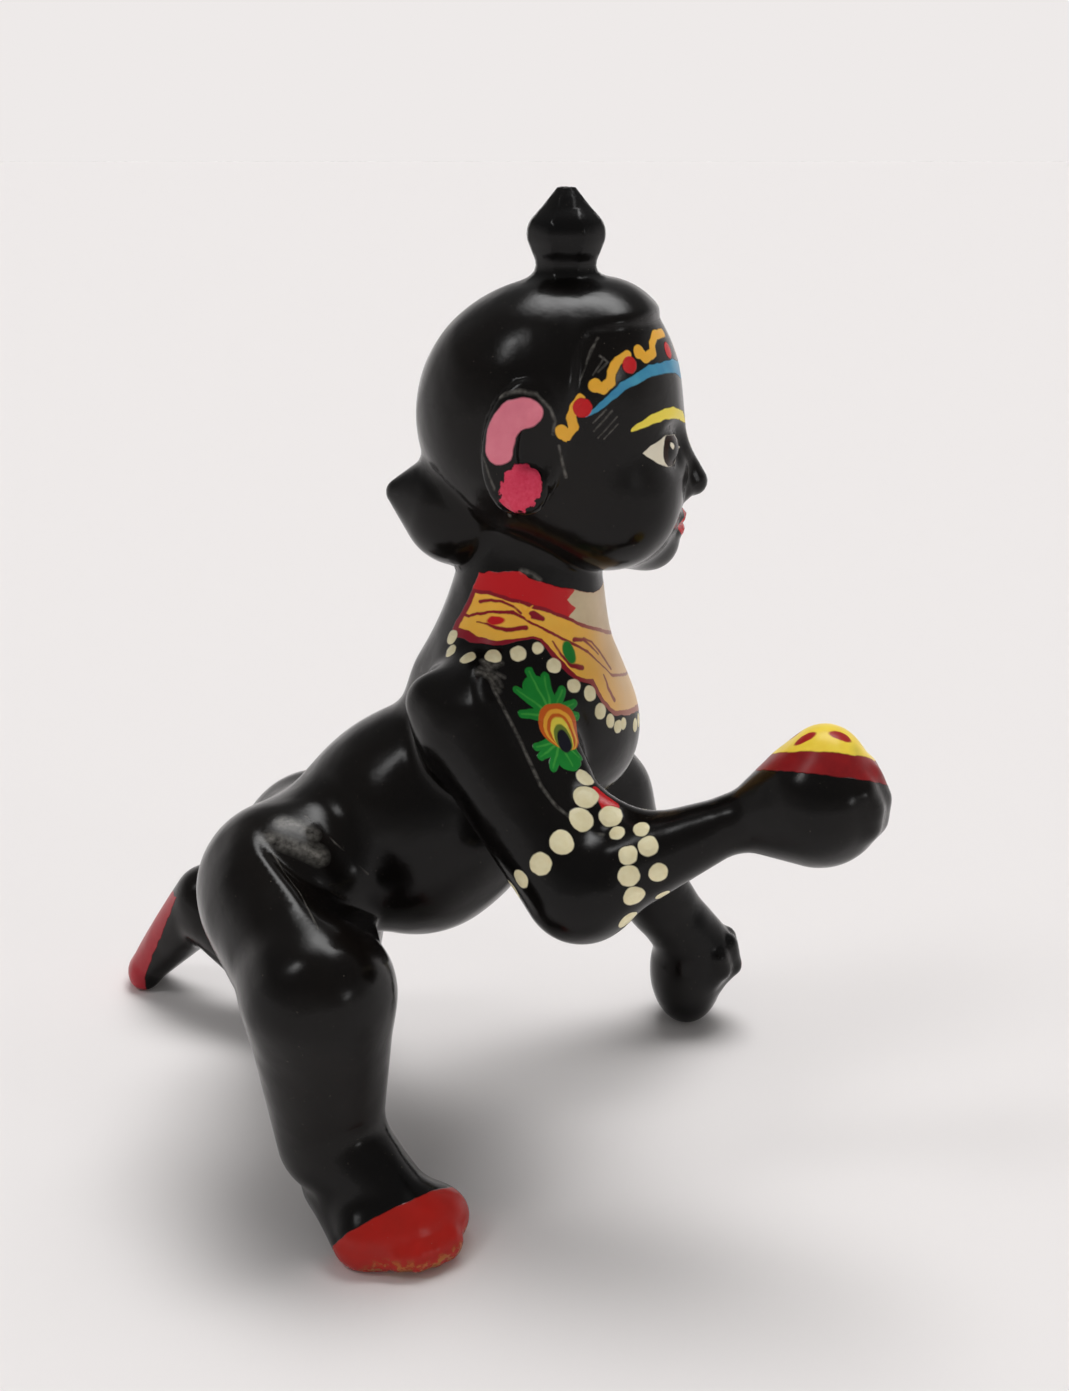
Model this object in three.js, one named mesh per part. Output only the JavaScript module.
// A crawling child idol, cast in brass in one piece and enamelled: the left hand, left knee, left toes
// and right sole stand on the ground, and the raised right palm holds a round sweet.
// Millimetres, +Z up, +X the way the face looks, +Y to the figure's left.
import * as THREE from "three";

// Driving dimensions
const HEIGHT = 114.6; // ground to the tip of the hair knot
const RIGHT = -1;
const LEFT = 1;

// Meshing
const CELL = 0.9; // sampling step of the form
const TRIANGLES = 8000; // kept after simplifying
const FLAT = 0.12; // points this near the ground lie on it

// Head, from chin to crown
const SKULL = { centre: [0.7, 0, 89.5], radii: [13.5, 13, 14] };
const BROW = { centre: [5.8, 0, 93.7], radii: [10.4, 11.2, 9.4] };
const JAW = { centre: [6.6, 0, 82.4], radii: [10.8, 11.2, 10.4] };
const FACE_FRONT = 16.6;
const EYE = { z: 86.6, y: 5.6 };
const NOSE = { rootZ: 88.2, tipZ: 81.2 };
const MOUTH_Z = 77.2;
const CHIN_Z = 74.6;
const HAIR_THICKNESS = 0.7;
const HAIRLINE = { front: 99.9, side: 4.4, lean: 0.12 };
const FORELOCK = { centre: [8.2, 0, 97.5], radii: [5.8, 9.4, 6.3] };
const KNOT_X = 3.5;
const KNOT_PROFILE = [ // radius at each height, from the crown up
  [5.6, 103.4], [4.4, 104.5], [3.75, 105.4], [3.55, 106.4], [4.1, 107.8],
  [4.6, 109.3], [4.25, 110.8], [2.8, 112.4], [0.9, HEIGHT],
];
const EAR = { x: -1.2, z: 87.9, out: 12.8 };

// Degrees from the face's direction to the right foot's
const FOOT_HEADING = -67;

// Fields: each gives the distance from a point to a form, negative inside it
const ball = (c, r) => (x, y, z) => Math.hypot(x - c[0], y - c[1], z - c[2]) - r;

function roundCone(a, b, ra, rb) {
  const d = [b[0] - a[0], b[1] - a[1], b[2] - a[2]];
  const length2 = d[0] * d[0] + d[1] * d[1] + d[2] * d[2];
  const slope = ra - rb;
  const a2 = length2 - slope * slope;
  const inverse = 1 / length2;
  return (x, y, z) => {
    const px = x - a[0];
    const py = y - a[1];
    const pz = z - a[2];
    const along = px * d[0] + py * d[1] + pz * d[2];
    const rest = along - length2;
    const qx = px * length2 - d[0] * along;
    const qy = py * length2 - d[1] * along;
    const qz = pz * length2 - d[2] * along;
    const x2 = qx * qx + qy * qy + qz * qz;
    const y2 = along * along * length2;
    const z2 = rest * rest * length2;
    const k = Math.sign(slope) * slope * slope * x2;
    if (Math.sign(rest) * a2 * z2 > k) return Math.sqrt(x2 + z2) * inverse - rb;
    if (Math.sign(along) * a2 * y2 < k) return Math.sqrt(x2 + y2) * inverse - ra;
    return (Math.sqrt(x2 * a2 * inverse) + along * slope) * inverse - ra;
  };
}

function ellipsoid(c, r, turn = [0, 0, 0]) {
  const euler = new THREE.Euler(...turn.map(THREE.MathUtils.degToRad));
  const m = new THREE.Matrix4().makeRotationFromEuler(euler).elements;
  return (x, y, z) => {
    const px = x - c[0];
    const py = y - c[1];
    const pz = z - c[2];
    const ux = (m[0] * px + m[1] * py + m[2] * pz) / r[0];
    const uy = (m[4] * px + m[5] * py + m[6] * pz) / r[1];
    const uz = (m[8] * px + m[9] * py + m[10] * pz) / r[2];
    const k0 = Math.hypot(ux, uy, uz);
    const k1 = Math.hypot(ux / r[0], uy / r[1], uz / r[2]);
    return k1 > 1e-9 ? (k0 * (k0 - 1)) / k1 : -Math.min(...r);
  };
}

const soft = (a, b, k) => {
  const h = Math.max(k - Math.abs(a - b), 0);
  return Math.min(a, b) - (k > 0 ? (h * h) / (4 * k) : 0);
};
const join = (k, ...forms) => (x, y, z) => {
  let d = forms[0](x, y, z);
  for (let i = 1; i < forms.length; i++) d = soft(d, forms[i](x, y, z), k);
  return d;
};
const carve = (k, form, ...cutters) => (x, y, z) => {
  let d = form(x, y, z);
  for (const cutter of cutters) d = -soft(-d, cutter(x, y, z), k);
  return d;
};
const within = (k, form, limit) => (x, y, z) => -soft(-form(x, y, z), -limit(x, y, z), k);
const plane = (p, n) => (x, y, z) => (x - p[0]) * n[0] + (y - p[1]) * n[1] + (z - p[2]) * n[2];
const both = (make) => [make(RIGHT), make(LEFT)];

// Torso: leaning forward, round in the belly, the raised hip higher than the other
function torso() {
  const trunk = roundCone([-4, 0, 52], [-26, 0, 36.5], 9, 8);
  const chest = ellipsoid([-0.4, 0, 55.4], [11.2, 13.6, 11.2]);
  const belly = ellipsoid([-14.6, 0, 39.4], [13.6, 13.4, 13.8]);
  const front = roundCone([3.6, 0, 51.6], [-8.4, 0, 42.6], 8.9, 10.4);
  const nape = roundCone([-1.4, 0, 66], [-6, 0, 56.4], 7.8, 9);
  const slopes = both((s) => roundCone([-2, s * 2, 62.5], [-7, s * 10.4, 55.6], 6.2, 6.6));
  const seat = join(1.6, ball([-29.5, -8.4, 34.4], 10.7), ball([-28.6, 7.4, 31.6], 9.8));
  return join(4, join(3.4, join(4, trunk, chest, belly, front), nape, ...slopes), seat);
}

// Hair knot: a bud of eight facets on a narrow stem, with a small dip at its tip
function hairKnot() {
  const last = KNOT_PROFILE.length - 1;
  const slopes = KNOT_PROFILE.map((_, i) => {
    const [[r0, z0], [r1, z1]] = [KNOT_PROFILE[Math.max(i - 1, 0)], KNOT_PROFILE[Math.min(i + 1, last)]];
    return (r1 - r0) / (z1 - z0);
  });
  const radiusAt = (z) => {
    const level = THREE.MathUtils.clamp(z, KNOT_PROFILE[0][1], HEIGHT);
    const i = Math.max(KNOT_PROFILE.findIndex((point) => level <= point[1]), 1);
    const [[r0, z0], [r1, z1]] = [KNOT_PROFILE[i - 1], KNOT_PROFILE[i]];
    const t = (level - z0) / (z1 - z0);
    const straight = r0 + (r1 - r0) * t * t * (3 - 2 * t);
    return straight + (z1 - z0) * t * (1 - t) * (slopes[i - 1] * (1 - t) - slopes[i] * t);
  };
  const step = Math.PI / 4;
  const bud = (x, y, z) => {
    const angle = Math.atan2(y, x - KNOT_X) + Math.PI / 2;
    const off = angle - step * Math.round(angle / step);
    const facet = Math.cos(step / 2) / Math.cos(off);
    const side = Math.hypot(x - KNOT_X, y) - radiusAt(z) * (0.4 + 0.6 * facet);
    return Math.max(side * 0.7, z - HEIGHT, 100 - z);
  };
  return carve(0.2, bud, ball([KNOT_X, 0, HEIGHT + 0.5], 0.9));
}

// Ear: a low shell with a raised rim, a hollow in front and a round stud at the pierced lobe
function ear(side) {
  const y = side * EAR.out;
  const shell = ellipsoid([EAR.x, y, EAR.z], [4.5, 1.9, 7.4], [0, 8, 0]);
  const hollow = ellipsoid([EAR.x + 1.6, y + side * 1.9, EAR.z + 0.4], [2.3, 1.6, 4.4], [0, 8, 0]);
  const stud = ellipsoid([EAR.x + 0.3, y + side * 0.9, EAR.z - 4.6], [2.5, 1.4, 2.6]);
  const pierced = ball([EAR.x + 3, y + side * 0.6, EAR.z - 6], 1);
  return { form: join(0.4, carve(0.6, shell, hollow), stud), hole: pierced };
}

function skullForm() {
  const skull = join(5, ellipsoid(SKULL.centre, SKULL.radii), ellipsoid(BROW.centre, BROW.radii));
  return join(2, skull, ellipsoid(FORELOCK.centre, FORELOCK.radii));
}

function faceForm() {
  const jaw = ellipsoid(JAW.centre, JAW.radii);
  const cheeks = both((s) => ball([9.2, s * 5.4, 79.8], 6.5));
  const chin = ball([13.6, 0, CHIN_Z], 3);
  const sockets = both((s) =>
    ellipsoid([FACE_FRONT + 0.6, s * EYE.y, EYE.z + 0.4], [2.6, 4.2, 2.6], [0, 0, s * 26]));
  const eyes = both((s) => ellipsoid([FACE_FRONT - 4.1, s * (EYE.y - 0.4), EYE.z], [3.6, 4, 3]));
  const noseTip = [FACE_FRONT + 1.7, 0, NOSE.tipZ + 0.7];
  const bridge = roundCone([FACE_FRONT - 1.5, 0, NOSE.rootZ], noseTip, 1.2, 1.7);
  const wings = both((s) => ball([FACE_FRONT + 0.3, s * 1.7, NOSE.tipZ], 1.25));
  const lips = join(0.3,
    ellipsoid([FACE_FRONT - 0.4, 0, MOUTH_Z + 0.75], [1.5, 3.2, 0.85]),
    ellipsoid([FACE_FRONT - 0.6, 0, MOUTH_Z - 0.8], [1.5, 2.7, 1]));
  const mask = join(4, join(3, join(6, skullForm(), jaw), ...cheeks), chin);
  const looking = join(0.6, carve(1.6, mask, ...sockets), ...eyes);
  return join(0.6, join(0.9, looking, join(1.2, bridge, ...wings)), lips);
}

function head() {
  const skull = skullForm();
  const cap = (x, y, z) => skull(x, y, z) - HAIR_THICKNESS;
  const edge = (x, y, z) => {
    const beside = x - HAIRLINE.side - HAIRLINE.lean * (z - 95);
    const above = HAIRLINE.front + HAIRLINE.lean * (x - 6) - z;
    return soft(beside, above, 2);
  };
  const hair = within(1.4, cap, edge);
  const bun = roundCone([-8.5, 0, 79], [-15.6, 0, 80.6], 7, 1.6);
  const ears = both(ear);
  const haired = join(1.4, join(0.8, faceForm(), hair), bun);
  const pierced = carve(0.3, join(0.4, haired, ...ears.map((e) => e.form)), ...ears.map((e) => e.hole));
  return join(0.8, pierced, hairKnot());
}

const neck = () => roundCone([-0.6, 0, 62], [-0.2, 0, 76], 8.4, 7.8);

// Fingers: four, curled side by side over a round core, each bent through three points
function curledFingers(core, radius, spread, bends, thickness) {
  return [-1.5, -0.5, 0.5, 1.5].map((place) => {
    const y = place * spread;
    const reach = Math.sqrt(radius * radius - y * y);
    const joints = bends.map(THREE.MathUtils.degToRad).map((angle) =>
      [core[0] + reach * Math.cos(angle), core[1] + y, core[2] + reach * Math.sin(angle)]);
    return join(0.4, roundCone(joints[0], joints[1], thickness, thickness),
      roundCone(joints[1], joints[2], thickness, 0.9 * thickness));
  });
}

// Right arm: raised, with the sweet resting in the closed hand
function rightArm() {
  const shoulder = [-4.6, -10.8, 56];
  const blade = [-11.6, -10.8, 58.6];
  const elbow = [5.2, -22, 41];
  const wrist = [20.6, -24, 48.8];
  const palm = [30.4, -25, 52];
  const sleeveFront = plane([-4.35, -15.4, 61.15], [0.491, -0.524, 0.696]);
  const upper = join(3, roundCone(shoulder, elbow, 8.2, 6), roundCone(blade, elbow, 3, 5.6));
  const sleeve = within(0.8, upper, sleeveFront);
  const forearm = roundCone(elbow, wrist, 5.8, 3.1);
  const crook = roundCone([6, -19, 48.6], [13, -22.8, 46.6], 2.6, 2.2);
  const hand = roundCone([22.5, -24.2, 49.4], palm, 3, 7.1);
  const fingers = curledFingers(palm, 5.9, 2.6, [-14, 8, 34], 1.6);
  const sweet = ellipsoid([30.9, -25, 54.5], [4.9, 5.3, 6.1]);
  const bent = join(2, join(1.4, sleeve, forearm), crook);
  return join(0.8, join(1.6, bent, join(1.2, hand, ...fingers)), sweet);
}

// Left arm: straight down to a fist on the ground
function leftArm() {
  const shoulder = [-4.6, 11, 54.8];
  const elbow = [9.4, 19, 36];
  const wrist = [17.2, 22, 19];
  const knuckles = [23.8, 22.8, 9.9];
  const arm = join(3, roundCone(shoulder, elbow, 8.2, 5.7), roundCone(elbow, wrist, 5.5, 4.4));
  const back = roundCone(wrist, knuckles, 4.4, 5);
  const fingers = curledFingers(knuckles, 4, 2.3, [34, -14, -64], 1.6);
  const fist = join(1, ellipsoid([21.6, 23.2, 7.6], [5.2, 6.2, 8]), join(0.5, back, ...fingers));
  return join(2, arm, fist);
}

// Toes: five round tips in a fan, the largest on the inner side
function toeFan(centre, reach, drop) {
  const radii = [2.4, 2.1, 2, 1.8, 1.6];
  return radii.map((r, i) => {
    const angle = THREE.MathUtils.degToRad(FOOT_HEADING + 42 - 22 * i);
    const [x, y, z] = centre;
    return ball([x + reach * Math.cos(angle), y + reach * Math.sin(angle), z + drop], r);
  });
}

// Right leg: knee raised outward, foot flat on the ground
function rightLeg() {
  const hip = [-29, -12, 34];
  const knee = [-23.9, -25.4, 29.2];
  const ankle = [-23.5, -24.6, 10.6];
  const heel = [-21.6, -23, 5.4];
  const tread = [-14.7, -30.4, 3.1];
  const groin = plane([-27.7, -16, 40], [0.62, 0.1, 0.778]);
  const thigh = within(0.8, roundCone(hip, knee, 10, 7.8), groin);
  const leg = join(2, thigh, roundCone(knee, ankle, 8.5, 6));
  const outer = roundCone([-22.4, -24, 4], [-18.8, -32.4, 3], 4.2, 4);
  const arch = roundCone([-22.2, -26.2, 10.4], tread, 5.8, 4.4);
  const instep = join(2, roundCone(heel, tread, 5.3, 4.4), arch, outer);
  const front = ellipsoid(tread, [5.4, 7.6, 4.5], [0, 0, FOOT_HEADING]);
  const toes = join(0.5, front, ...toeFan(tread, 4.8, -0.8));
  return join(1, leg, join(1.2, instep, toes));
}

// Left leg: knee on the ground, foot trailing on its toes with the sole turned back
function leftLeg() {
  const hip = [-28, 10, 32];
  const knee = [-30, 18.5, 7.4];
  const ankle = [-44.6, 26, 13.6];
  const leg = join(3, roundCone(hip, knee, 10, 7.6), roundCone(knee, ankle, 7.2, 4.8));
  const heel = [-46.5, 27.6, 16.4];
  const innerEdge = roundCone(heel, [-57, 32.2, 3.2], 4.2, 2.4);
  const outerEdge = roundCone(heel, [-57.2, 35.8, 3], 4.2, 2.3);
  const foot = join(3, innerEdge, outerEdge);
  const toes = [-2.6, -1.3, 0, 1.3, 2.6].map((y, i) =>
    ball([-58.3 + 0.1 * y * y, 34.5 + y, 2], 2.2 - 0.06 * i));
  return join(2, leg, join(0.8, foot, ...toes));
}

function figure() {
  const body = join(5, torso(), neck());
  const arms = join(0.01, rightArm(), leftArm());
  const legs = join(0.01, rightLeg(), leftLeg());
  const whole = join(1, join(1.6, join(1, body, legs), arms), head());
  return within(0, whole, plane([0, 0, 0], [0, 0, -1]));
}

// Corners of a cell
const CORNERS = [0, 1, 2, 3, 4, 5, 6, 7].map((c) => [c & 1, (c >> 1) & 1, (c >> 2) & 1]);

// Closes the pinches where two sheets of the surface would share an edge or a point of one cell
function closePinches(values, n, at) {
  const sides = [[1, 0, 0, 0, 1, 0], [0, 1, 0, 0, 0, 1], [1, 0, 0, 0, 0, 1]];
  const diagonals = [[0, 7], [1, 6], [2, 5], [4, 3]];
  const fill = (nodes) => {
    const open = nodes.filter((node) => values[node] >= 0);
    values[open.reduce((a, b) => (values[a] < values[b] ? a : b))] = -1e-3;
  };
  for (let changed = true; changed; ) {
    changed = false;
    for (let i = 0; i < n[0] - 1; i++)
      for (let j = 0; j < n[1] - 1; j++)
        for (let k = 0; k < n[2] - 1; k++) {
          for (const [a, b, c, d, e, f] of sides) {
            const nodes = [[0, 0], [1, 0], [1, 1], [0, 1]].map(([s, t]) =>
              at(i + s * a + t * d, j + s * b + t * e, k + s * c + t * f));
            const [p, q, r, s] = nodes.map((node) => values[node] < 0);
            if (p !== r || q !== s || p === q) continue;
            fill(nodes);
            changed = true;
          }
          const corners = CORNERS.map((o) => at(i + o[0], j + o[1], k + o[2]));
          const inside = corners.map((node) => values[node] < 0);
          const count = inside.filter(Boolean).length;
          if (count !== 2 && count !== 6) continue;
          if (!diagonals.some(([a, b]) => inside[a] === inside[b] && inside[a] === (count === 2))) continue;
          fill(corners);
          changed = true;
        }
  }
}

// A closed net of triangles over the surface where the field is zero
function surfaceNet(field, low, high, step) {
  const n = low.map((l, i) => Math.ceil((high[i] - l) / step) + 1);
  const at = (i, j, k) => (i * n[1] + j) * n[2] + k;
  const values = new Float64Array(n[0] * n[1] * n[2]);
  for (let i = 0; i < n[0]; i++)
    for (let j = 0; j < n[1]; j++)
      for (let k = 0; k < n[2]; k++)
        values[at(i, j, k)] = field(low[0] + i * step, low[1] + j * step, low[2] + k * step);
  closePinches(values, n, at);
  const cell = new Int32Array(values.length).fill(-1);
  const points = [];
  for (let i = 0; i < n[0] - 1; i++)
    for (let j = 0; j < n[1] - 1; j++)
      for (let k = 0; k < n[2] - 1; k++) {
        const corner = CORNERS.map((o) => values[at(i + o[0], j + o[1], k + o[2])]);
        if (corner.every((d) => d < 0) || corner.every((d) => d >= 0)) continue;
        const sum = [0, 0, 0];
        let count = 0;
        for (let a = 0; a < 8; a++)
          for (const bit of [1, 2, 4]) {
            const b = a | bit;
            if (b === a || corner[a] < 0 === corner[b] < 0) continue;
            const t = corner[a] / (corner[a] - corner[b]);
            for (let m = 0; m < 3; m++) sum[m] += CORNERS[a][m] + t * (CORNERS[b][m] - CORNERS[a][m]);
            count++;
          }
        cell[at(i, j, k)] = points.length;
        points.push([i, j, k].map((base, m) => low[m] + (base + sum[m] / count) * step));
      }
  const triangles = [];
  const axes = [[1, 0, 0], [0, 1, 0], [0, 0, 1]];
  for (let i = 1; i < n[0] - 1; i++)
    for (let j = 1; j < n[1] - 1; j++)
      for (let k = 1; k < n[2] - 1; k++)
        axes.forEach((e, m) => {
          const inside = values[at(i, j, k)] < 0;
          if (inside === values[at(i + e[0], j + e[1], k + e[2])] < 0) return;
          const u = axes[(m + 1) % 3];
          const w = axes[(m + 2) % 3];
          const quad = [[0, 0], [1, 0], [1, 1], [0, 1]].map(([s, t]) =>
            cell[at(i - s * u[0] - t * w[0], j - s * u[1] - t * w[1], k - s * u[2] - t * w[2])]);
          const [a, b, c, d] = inside ? quad : quad.reverse();
          triangles.push([a, b, c], [a, c, d]);
        });
  return { points, triangles };
}

// Moves each point along the field's slope onto the surface
function settle(points, field, passes, reach) {
  const e = 0.02;
  for (const p of points)
    for (let pass = 0; pass < passes; pass++) {
      const d = field(...p);
      const g = [0, 1, 2].map((m) => {
        const q = [...p];
        q[m] += e;
        return (field(...q) - d) / e;
      });
      const slope = g[0] ** 2 + g[1] ** 2 + g[2] ** 2;
      const move = THREE.MathUtils.clamp(d / Math.max(slope, 0.05), -reach, reach);
      for (let m = 0; m < 3; m++) p[m] -= move * g[m];
    }
}

// Collapses the edges that change the form least, until the wanted number of triangles is left
function simplify({ points, triangles }, wanted) {
  const faces = triangles.map((t) => [...t]);
  const around = points.map(() => new Set());
  const quadrics = points.map(() => new Float64Array(10));
  const stamp = new Uint32Array(points.length);
  const sub = (a, b) => [a[0] - b[0], a[1] - b[1], a[2] - b[2]];
  const cross = (a, b) => [a[1] * b[2] - a[2] * b[1], a[2] * b[0] - a[0] * b[2], a[0] * b[1] - a[1] * b[0]];
  const dot = (a, b) => a[0] * b[0] + a[1] * b[1] + a[2] * b[2];
  const normal = (a, b, c) => cross(sub(b, a), sub(c, a));
  faces.forEach((f, id) => {
    const n = normal(...f.map((i) => points[i]));
    const area = Math.sqrt(dot(n, n)) || 1e-12;
    const [a, b, c] = n.map((x) => x / area);
    const d = -dot([a, b, c], points[f[0]]);
    const q = [a * a, a * b, a * c, a * d, b * b, b * c, b * d, c * c, c * d, d * d];
    for (const i of f) {
      around[i].add(id);
      for (let m = 0; m < 10; m++) quadrics[i][m] += q[m] * area;
    }
  });
  const error = (q, [x, y, z]) =>
    q[0] * x * x + 2 * q[1] * x * y + 2 * q[2] * x * z + 2 * q[3] * x + q[4] * y * y +
    2 * q[5] * y * z + 2 * q[6] * y + q[7] * z * z + 2 * q[8] * z + q[9];
  const best = (q, a, b) => {
    const [m00, m01, m02, v0, m11, m12, v1, m22, v2] = q;
    const c0 = m11 * m22 - m12 * m12;
    const c1 = m02 * m12 - m01 * m22;
    const c2 = m01 * m12 - m02 * m11;
    const det = m00 * c0 + m01 * c1 + m02 * c2;
    const middle = a.map((x, m) => (x + b[m]) / 2);
    if (Math.abs(det) < 1e-7) return middle;
    const x = -(c0 * v0 + c1 * v1 + c2 * v2) / det;
    const y = -(c1 * v0 + (m00 * m22 - m02 * m02) * v1 + (m01 * m02 - m00 * m12) * v2) / det;
    const z = -(c2 * v0 + (m01 * m02 - m00 * m12) * v1 + (m00 * m11 - m01 * m01) * v2) / det;
    const far = Math.hypot(...sub([x, y, z], middle)) > Math.hypot(...sub(a, b));
    return far ? middle : [x, y, z];
  };
  const heap = [];
  const swap = (i, j) => ([heap[i], heap[j]] = [heap[j], heap[i]]);
  const push = (item) => {
    let i = heap.push(item) - 1;
    while (i && heap[(i - 1) >> 1].cost > heap[i].cost) {
      swap(i, (i - 1) >> 1);
      i = (i - 1) >> 1;
    }
  };
  const pop = () => {
    const top = heap[0];
    const last = heap.pop();
    if (heap.length) heap[0] = last;
    for (let i = 0; ; ) {
      let least = i;
      for (const child of [2 * i + 1, 2 * i + 2])
        if (child < heap.length && heap[child].cost < heap[least].cost) least = child;
      if (least === i) return top;
      swap(i, least);
      i = least;
    }
  };
  const neighbours = (i) => new Set([...around[i]].flatMap((f) => faces[f]).filter((j) => j !== i));
  const offer = (a, b) => {
    const q = quadrics[a].map((x, m) => x + quadrics[b][m]);
    const place = best(q, points[a], points[b]);
    const spread = 1e-4 * Math.hypot(...sub(points[a], points[b]));
    push({ cost: error(q, place) + spread, a, b, place, q, at: stamp[a] + stamp[b] });
  };
  points.forEach((_, a) => neighbours(a).forEach((b) => a < b && offer(a, b)));
  const turns = (i, other, place) =>
    [...around[i]].some((id) => {
      const f = faces[id];
      if (f.includes(other)) return false;
      const before = normal(...f.map((j) => points[j]));
      const after = normal(...f.map((j) => (j === i ? place : points[j])));
      return dot(before, after) < 0.3 * Math.sqrt(dot(before, before) * dot(after, after));
    });
  let left = faces.length;
  while (left > wanted && heap.length) {
    const { a, b, place, q, at } = pop();
    if (!around[a].size || !around[b].size || at !== stamp[a] + stamp[b]) continue;
    const shared = [...around[a]].filter((f) => around[b].has(f));
    const near = neighbours(a);
    if ([...neighbours(b)].filter((j) => near.has(j)).length !== 2 || shared.length !== 2) continue;
    if (turns(a, b, place) || turns(b, a, place)) continue;
    points[a] = place;
    quadrics[a] = q;
    for (const f of shared) for (const i of faces[f]) around[i].delete(f);
    for (const f of around[b]) {
      faces[f] = faces[f].map((i) => (i === b ? a : i));
      around[a].add(f);
    }
    around[b].clear();
    left -= 2;
    stamp[a] += 1 + stamp[b];
    for (const j of neighbours(a)) offer(a, j);
  }
  const kept = new Set(around.flatMap((s) => [...s]));
  return { points, triangles: faces.filter((_, id) => kept.has(id)) };
}

function netGeometry({ points, triangles }) {
  const geometry = new THREE.BufferGeometry();
  const used = [...new Set(triangles.flat())];
  const place = new Map(used.map((old, i) => [old, i]));
  const coordinates = used.flatMap((old) => points[old]);
  geometry.setAttribute("position", new THREE.Float32BufferAttribute(coordinates, 3));
  geometry.setIndex(triangles.flat().map((old) => place.get(old)));
  geometry.computeVertexNormals();
  return geometry;
}

const flatten = (points) => points.forEach((p) => (p[2] = p[2] < FLAT ? 0 : p[2]));

// The idol
const form = figure();
const net = surfaceNet(form, [-66, -46, -6], [46, 44, HEIGHT + 3], CELL);
settle(net.points, form, 2, CELL / 2);
flatten(net.points);
const cast = simplify(net, TRIANGLES);
flatten(cast.points);
const stood = netGeometry(cast);

const enamel = new THREE.MeshStandardMaterial({ color: 0x0b0b0c, roughness: 0.28, metalness: 0 });
const idol = new THREE.Mesh(stood, enamel);
idol.name = "idol";
stood.computeBoundingBox();
const middle = stood.boundingBox.getCenter(new THREE.Vector3());
idol.position.set(-middle.x, -middle.y, 0);

const part = new THREE.Group();
part.add(idol);
export default part;
